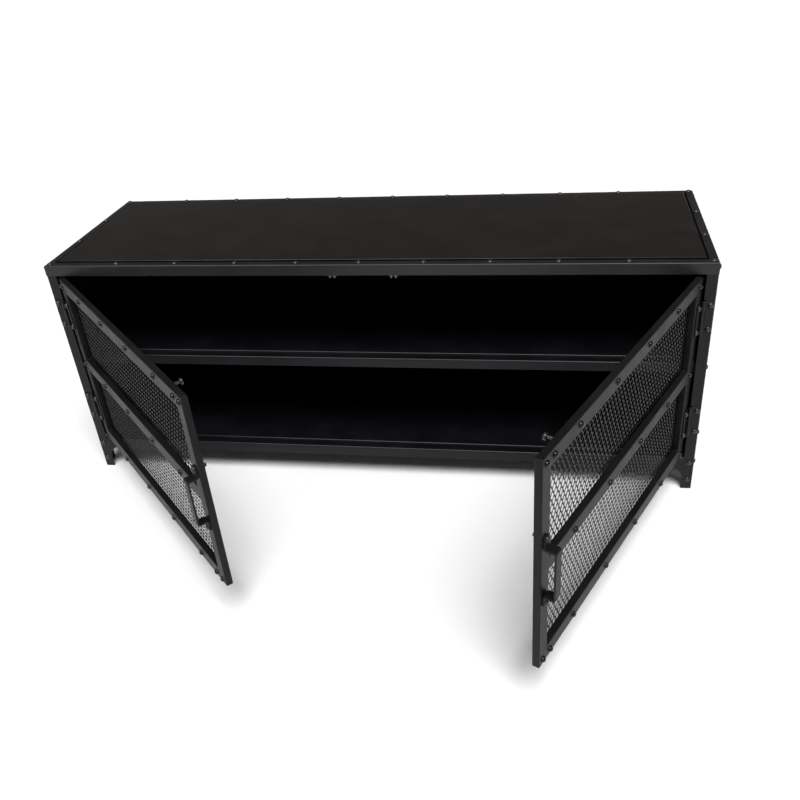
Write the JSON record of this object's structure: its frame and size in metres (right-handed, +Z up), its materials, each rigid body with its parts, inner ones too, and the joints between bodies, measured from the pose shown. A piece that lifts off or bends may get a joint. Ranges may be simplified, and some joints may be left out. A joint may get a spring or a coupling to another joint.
{
  "type": "tv stand with doors",
  "caption": "Low black steel media cabinet with riveted angle frame, one middle shelf, short feet and a pair of expanded-metal doors on butt hinges.",
  "frame": {"origin": "centre of the bounding box's base, on the floor, with the doors standing open as stored", "axes": "+X to the right seen from the front, +Y from the doors towards the back, +Z up"},
  "size_m": [1.2068, 0.8972, 0.4614],
  "materials": {
    "coated_frame": "satin black powder coat on angle, tube and strap steel",
    "coated_sheet": "matt black powder coat on sheet steel",
    "expanded_metal": "black powder coat on expanded steel mesh",
    "blackened_hardware": "black coated studs, nuts and magnetic catches",
    "hinge_pin_steel": "black coated steel pin"
  },
  "bodies": {
    "cabinet": {"back_left_post": "coated_frame", "back_panel": "coated_sheet", "back_right_post": "coated_frame", "bottom_back_rail": "coated_frame", "bottom_front_rail": "coated_frame", "bottom_left_rail": "coated_frame", "bottom_panel": "coated_sheet", "bottom_right_rail": "coated_frame", "front_left_post": "coated_frame", "front_right_post": "coated_frame", "left_catch": "blackened_hardware", "left_lower_hinge_pin": "hinge_pin_steel", "left_lower_hinge_post_leaf": "coated_frame", "left_side_panel": "coated_sheet", "left_upper_hinge_pin": "hinge_pin_steel", "left_upper_hinge_post_leaf": "coated_frame", "right_catch": "blackened_hardware", "right_lower_hinge_pin": "hinge_pin_steel", "right_lower_hinge_post_leaf": "coated_frame", "right_side_panel": "coated_sheet", "right_upper_hinge_pin": "hinge_pin_steel", "right_upper_hinge_post_leaf": "coated_frame", "shelf_back_rail": "coated_frame", "shelf_front_rail": "coated_frame", "shelf_left_rail": "coated_frame", "shelf_panel": "coated_sheet", "shelf_right_rail": "coated_frame", "top_back_rail": "coated_frame", "top_front_rail": "coated_frame", "top_left_rail": "coated_frame", "top_panel": "coated_sheet", "top_right_rail": "coated_frame"},
    "left_door": {"left_door_bottom_rail": "coated_frame", "left_door_free_stile": "coated_frame", "left_door_handle": "coated_frame", "left_door_handle_nut": "blackened_hardware", "left_door_hinge_stile": "coated_frame", "left_door_mesh": "expanded_metal", "left_door_mid_rail": "coated_frame", "left_door_strike": "blackened_hardware", "left_door_top_rail": "coated_frame", "left_lower_hinge_door_leaf": "coated_frame", "left_upper_hinge_door_leaf": "coated_frame"},
    "right_door": {"right_door_bottom_rail": "coated_frame", "right_door_free_stile": "coated_frame", "right_door_handle": "coated_frame", "right_door_handle_nut": "blackened_hardware", "right_door_hinge_stile": "coated_frame", "right_door_mesh": "expanded_metal", "right_door_mid_rail": "coated_frame", "right_door_strike": "blackened_hardware", "right_door_top_rail": "coated_frame", "right_lower_hinge_door_leaf": "coated_frame", "right_upper_hinge_door_leaf": "coated_frame"}
  },
  "joints": [
    {"name": "left_door_hinge", "type": "hinge", "parent": "cabinet", "child": "left_door", "pos_m": [-0.58, 0.07661, 0.256], "axis": [0, 0, -1], "range_deg": [-44.9, 105.1]},
    {"name": "right_door_hinge", "type": "hinge", "parent": "cabinet", "child": "right_door", "pos_m": [0.58, 0.07661, 0.256], "axis": [0, 0, 1], "range_deg": [-64.7, 85.3]}
  ]
}
